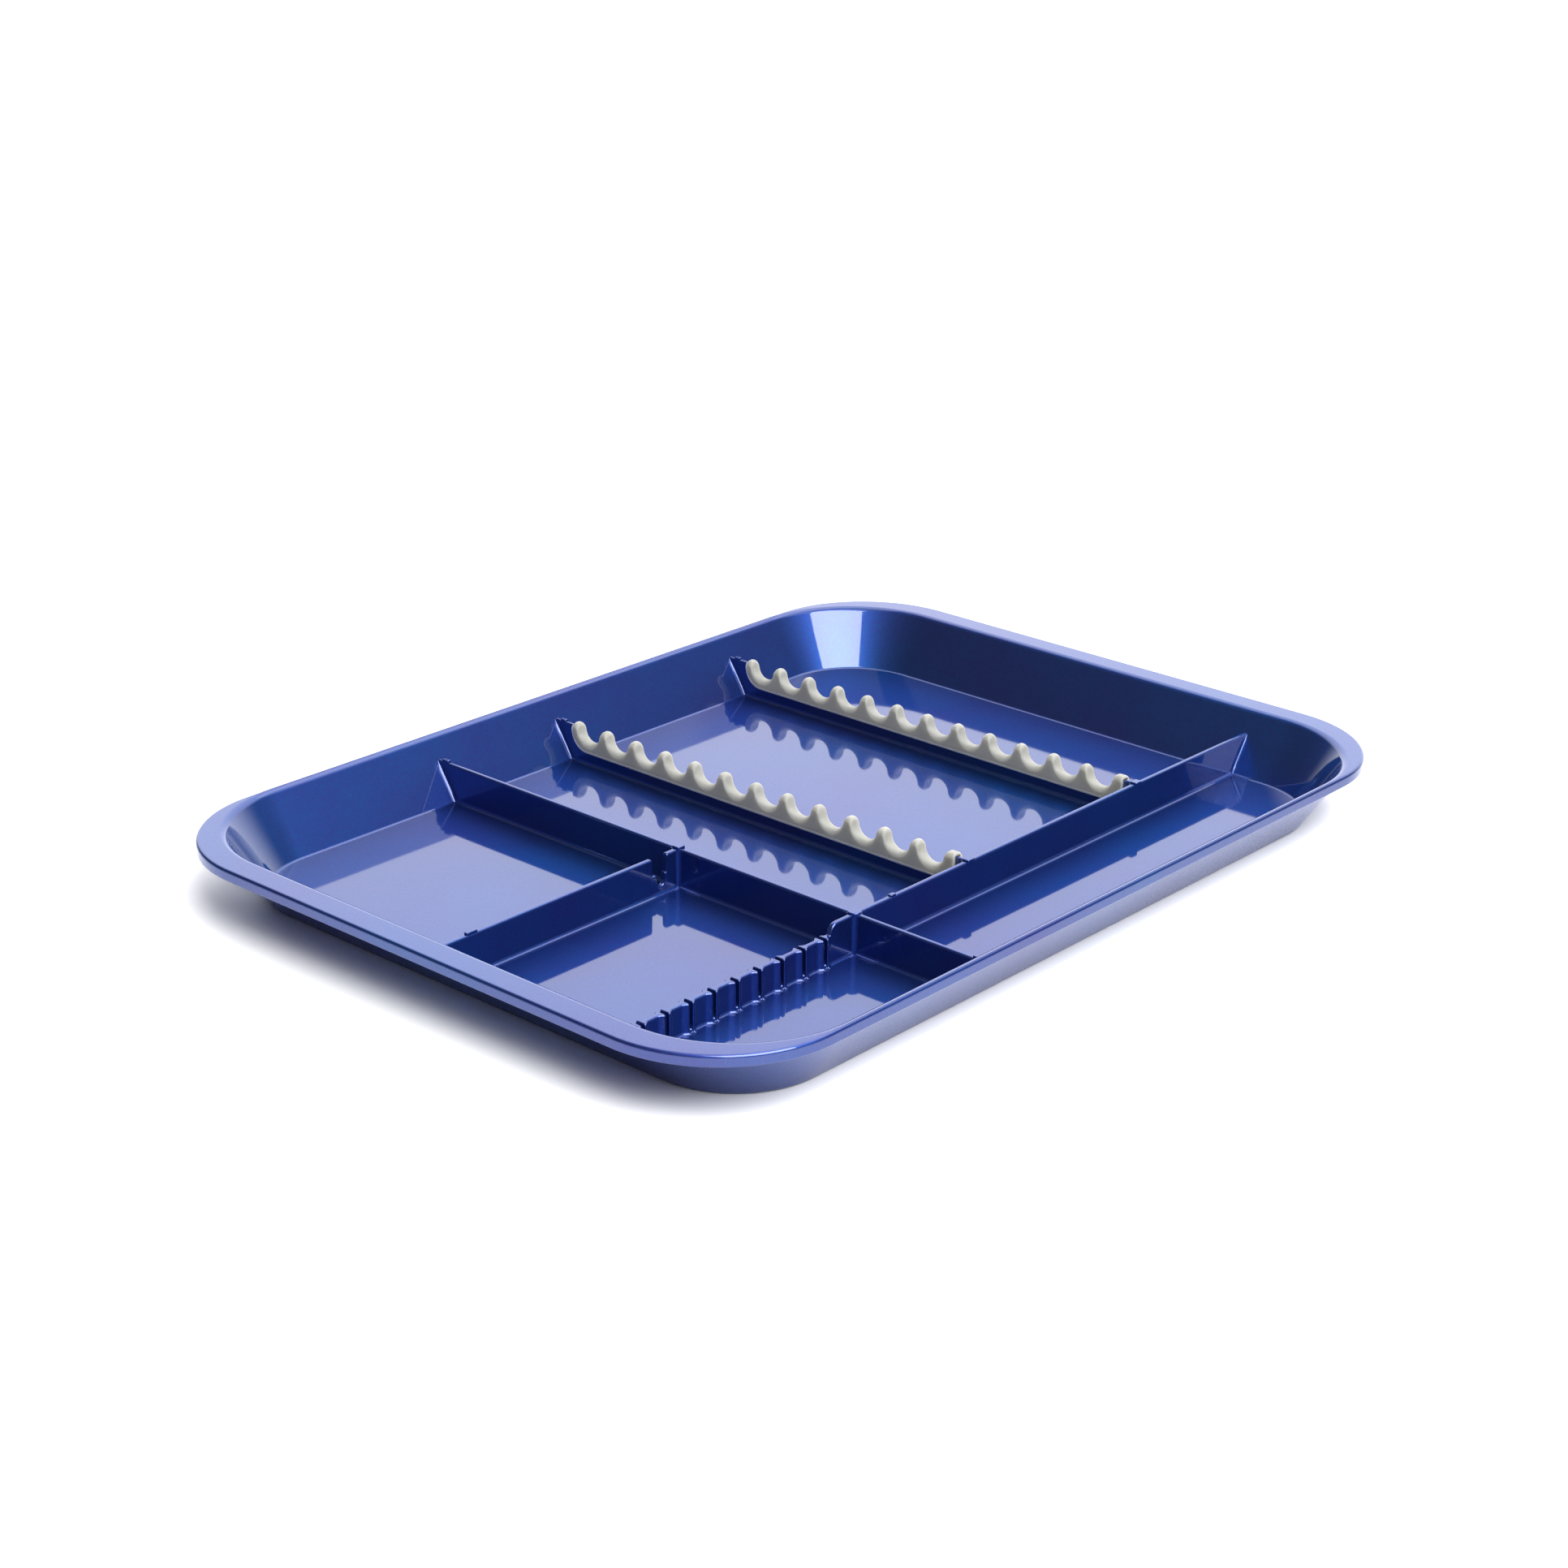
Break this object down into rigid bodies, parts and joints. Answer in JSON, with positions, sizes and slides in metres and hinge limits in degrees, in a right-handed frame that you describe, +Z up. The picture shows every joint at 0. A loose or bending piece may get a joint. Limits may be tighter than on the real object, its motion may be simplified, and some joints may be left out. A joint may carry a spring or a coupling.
{
  "type": "divided instrument tray",
  "caption": "Shallow divided tray with a flat rim, moulded partitions, a slotted partition and soft scalloped strips that cradle hand instruments.",
  "frame": {"origin": "centre of the tray's overall plan outline, at the underside of the floor", "axes": "+X along the tray's long side, from the slotted partition's end towards the strips; +Y across the tray, from the long partition towards the ribs' wall ends; +Z up, out of the open top"},
  "size_m": [0.34, 0.245, 0.022],
  "materials": {
    "tray_plastic": "glossy pearlescent royal blue with fine flake",
    "strip_silicone": "matte light warm grey silicone"
  },
  "bodies": {
    "tray": {"tray": "tray_plastic"},
    "front_strip": {"instrument_strip_front": "strip_silicone"},
    "rear_strip": {"instrument_strip_rear": "strip_silicone"}
  },
  "joints": [
    {"name": "front_strip_lift", "type": "slide", "parent": "tray", "child": "front_strip", "axis": [0, 0, 1], "range_m": [0, 0.03]},
    {"name": "rear_strip_lift", "type": "slide", "parent": "tray", "child": "rear_strip", "axis": [0, 0, 1], "range_m": [0, 0.03]}
  ]
}
